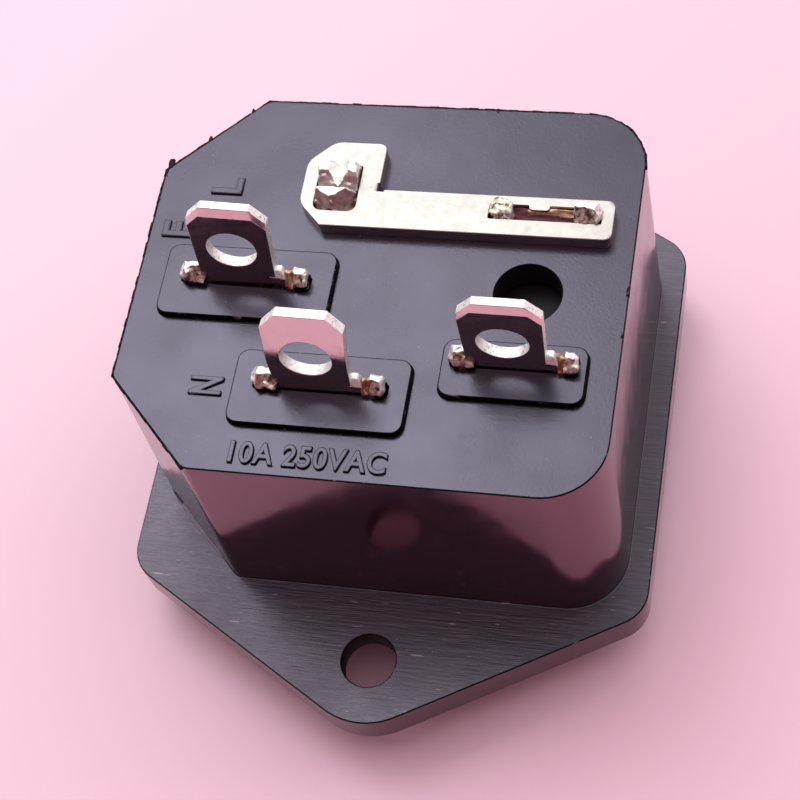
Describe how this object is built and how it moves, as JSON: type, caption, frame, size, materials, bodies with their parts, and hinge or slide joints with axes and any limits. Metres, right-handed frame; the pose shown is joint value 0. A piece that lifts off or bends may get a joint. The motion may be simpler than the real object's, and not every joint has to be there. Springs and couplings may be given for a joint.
{
  "type": "c14 panel inlet socket",
  "caption": "Screw-mounted C14 mains inlet with a two-eared flange, chamfered housing, rear solder tabs, a link strap and a sliding fuse drawer.",
  "frame": {"origin": "middle of the front face, halfway between the two mounting holes", "axes": "+Z from the front face to the rear terminals, +X from the earth side to the fuse side, Y along the line of the mounting holes with the neutral pin at -Y"},
  "size_m": [0.037, 0.049, 0.0292],
  "materials": {
    "black_plastic": "satin moulded black, glossy side walls",
    "drawer_plastic": "satin moulded black",
    "plated_terminal": "bright nickel plate on brass",
    "bright_strap": "bright nickel plate",
    "contact_strip": "thin nickel plate over brass",
    "fuse_cap": "nickel plate",
    "fuse_glass": "clear",
    "fuse_wire": "tinned"
  },
  "bodies": {
    "inlet": {"housing": "black_plastic", "earth_terminal": "plated_terminal", "neutral_terminal": "plated_terminal", "line_pin": "plated_terminal", "link_strap": "bright_strap", "fuse_contact_link": "contact_strip", "fuse_contact_line": "plated_terminal"},
    "drawer": {"fuse_drawer": "drawer_plastic", "fuse_tube": "fuse_glass", "fuse_cap_line": "fuse_cap", "fuse_cap_link": "fuse_cap", "fuse_element": "fuse_wire", "spare_fuse_tube": "fuse_glass", "spare_fuse_cap_line": "fuse_cap", "spare_fuse_cap_link": "fuse_cap", "spare_fuse_element": "fuse_wire"}
  },
  "joints": [
    {"name": "drawer_slide", "type": "slide", "parent": "inlet", "child": "drawer", "axis": [0, 0, -1], "range_m": [0, 0.016]}
  ]
}
